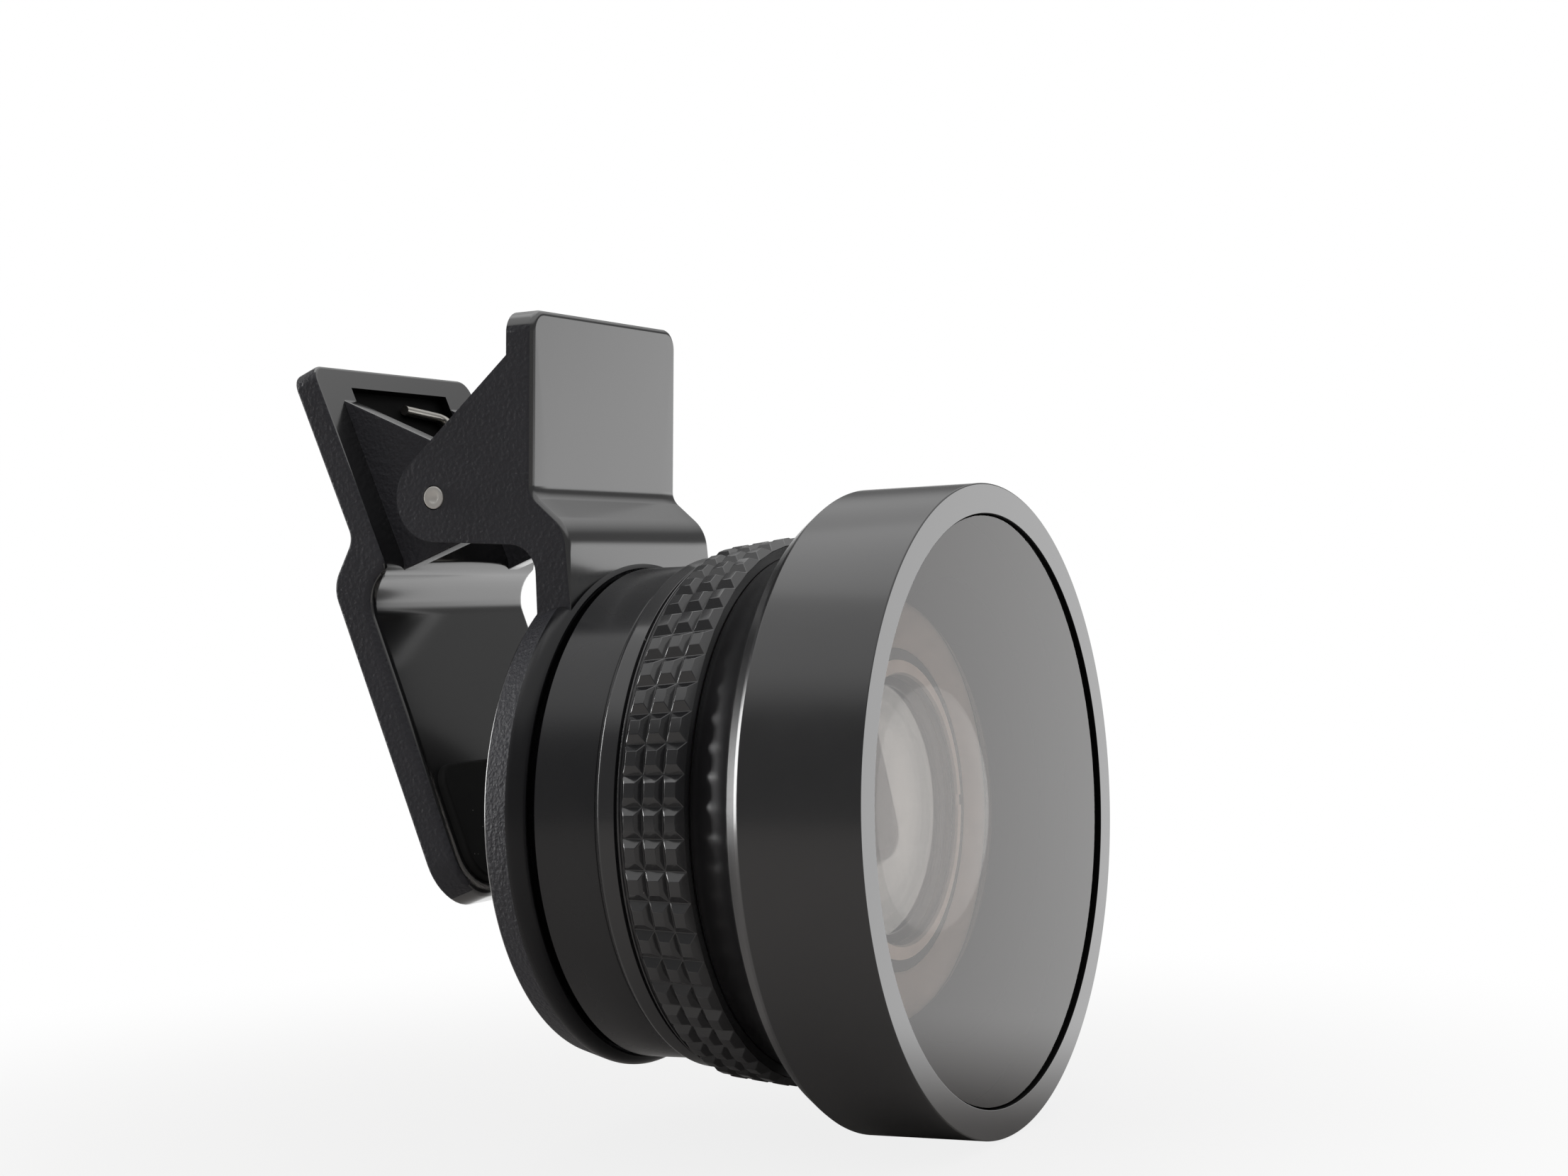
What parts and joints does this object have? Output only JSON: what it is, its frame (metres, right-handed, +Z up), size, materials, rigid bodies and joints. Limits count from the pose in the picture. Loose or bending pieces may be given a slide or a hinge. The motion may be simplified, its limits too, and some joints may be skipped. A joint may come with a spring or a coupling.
{
  "type": "clip-on phone lens",
  "caption": "Wide-angle lens with a knurled grip on a macro lens, screwed into the ring of a sprung plastic clip that grips a phone.",
  "frame": {"origin": "on the lens axis, on the face of the ring pad that rests on the phone", "axes": "+X forward along the lens axis, +Z up through the clip's handles, Y across the clip"},
  "size_m": [0.0585, 0.052, 0.0679],
  "materials": {
    "clip_plastic": "fine-textured black moulding with smoother broad faces",
    "pin_steel": "nickel-plated steel",
    "spring_wire": "bright spring wire",
    "pad_rubber": "matt black",
    "gasket_rubber": "matt black",
    "anodised_barrel": "satin black anodised",
    "anodised_hood": "satin black anodised",
    "lens_glass": "polished, coated",
    "front_glass": "polished"
  },
  "bodies": {
    "clip": {"clip_front_arm": "clip_plastic", "hinge_pin": "pin_steel", "torsion_spring": "spring_wire", "ring_pad": "pad_rubber"},
    "rear_arm": {"clip_rear_arm": "clip_plastic", "jaw_pad": "pad_rubber"},
    "macro_travel": {"macro_flint_element": "lens_glass", "macro_crown_element": "lens_glass"},
    "macro_lens": {"macro_barrel": "anodised_barrel", "macro_retaining_ring": "anodised_barrel"},
    "wide_travel": {"rear_flint_element": "lens_glass", "rear_crown_element": "lens_glass"},
    "wide_lens": {"grip_barrel": "anodised_barrel", "element_spacer": "anodised_barrel", "middle_element": "lens_glass", "middle_retaining_ring": "anodised_barrel", "hood": "anodised_hood", "front_gasket": "gasket_rubber", "front_element": "front_glass"}
  },
  "joints": [
    {"name": "clip_hinge", "type": "hinge", "parent": "clip", "child": "rear_arm", "pos_m": [-0.00889, 0, 0.02702], "axis": [0, 1, 0], "range_deg": [-15, 72], "stiffness_Nm_per_rad": 0.2, "springref_deg": -51.57, "deforming": ["torsion_spring"]},
    {"name": "macro_slide", "type": "slide", "parent": "clip", "child": "macro_travel", "axis": [1, 0, 0], "range_m": [0, 0.0019]},
    {"name": "macro_turn", "type": "hinge", "parent": "macro_travel", "child": "macro_lens", "pos_m": [0.004, 0, 0], "axis": [1, 0, 0], "range_deg": [0, 900]},
    {"name": "wide_slide", "type": "slide", "parent": "macro_lens", "child": "wide_travel", "axis": [1, 0, 0], "range_m": [0, 0.00295]},
    {"name": "wide_turn", "type": "hinge", "parent": "wide_travel", "child": "wide_lens", "pos_m": [0.011, 0, 0], "axis": [1, 0, 0], "range_deg": [0, 1400]}
  ],
  "couplings": [
    {"joint": "macro_slide", "follows": "macro_turn", "m_per_rad": 0.00011937},
    {"joint": "wide_slide", "follows": "wide_turn", "m_per_rad": 0.00011937}
  ]
}
